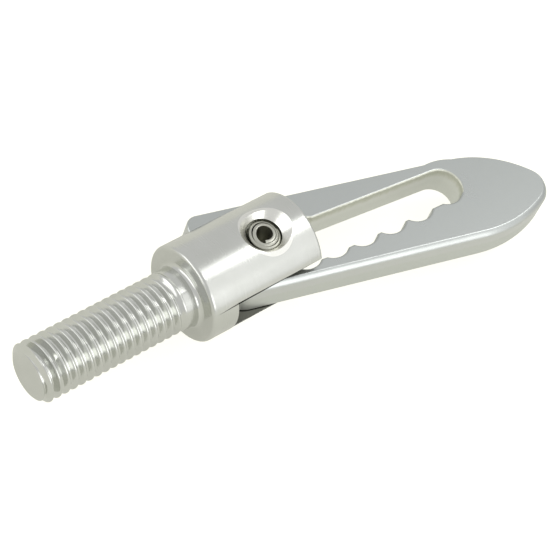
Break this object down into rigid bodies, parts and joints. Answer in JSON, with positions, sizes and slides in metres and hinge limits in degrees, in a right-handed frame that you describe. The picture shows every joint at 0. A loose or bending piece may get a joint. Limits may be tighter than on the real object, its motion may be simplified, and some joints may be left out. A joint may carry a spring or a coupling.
{
  "type": "drop-tongue tailgate fastener",
  "caption": "Threaded stud with a forked barrel head; a flat pointed tongue with a notched slot swings and slides on a coiled cross pin.",
  "frame": {"origin": "centre of the shoulder face, on the stud's axis", "axes": "+X along the stud's axis, from the shoulder towards the tongue; +Z along the cross pin's axis; -Y is the side that the tongue swings to"},
  "size_m": [0.1141, 0.0326, 0.0194],
  "materials": {
    "zinc_plated_turned_steel": "bright zinc plate over turned steel",
    "zinc_plated_stamped_steel": "satin zinc plate over stamped steel",
    "spring_steel": "plain rolled spring steel"
  },
  "bodies": {
    "stud_body": {"threaded_stud": "zinc_plated_turned_steel"},
    "pin_body": {"coiled_pin": "spring_steel"},
    "tongue_body": {"drop_tongue": "zinc_plated_stamped_steel"}
  },
  "joints": [
    {"name": "tongue_swing", "type": "hinge", "parent": "stud_body", "child": "pin_body", "pos_m": [0.0173, 0, 0], "axis": [0, 0, 1], "range_deg": [-90, 16]},
    {"name": "tongue_slide", "type": "slide", "parent": "pin_body", "child": "tongue_body", "axis": [0.969, -0.247, 0], "range_m": [0, 0.0028]}
  ]
}
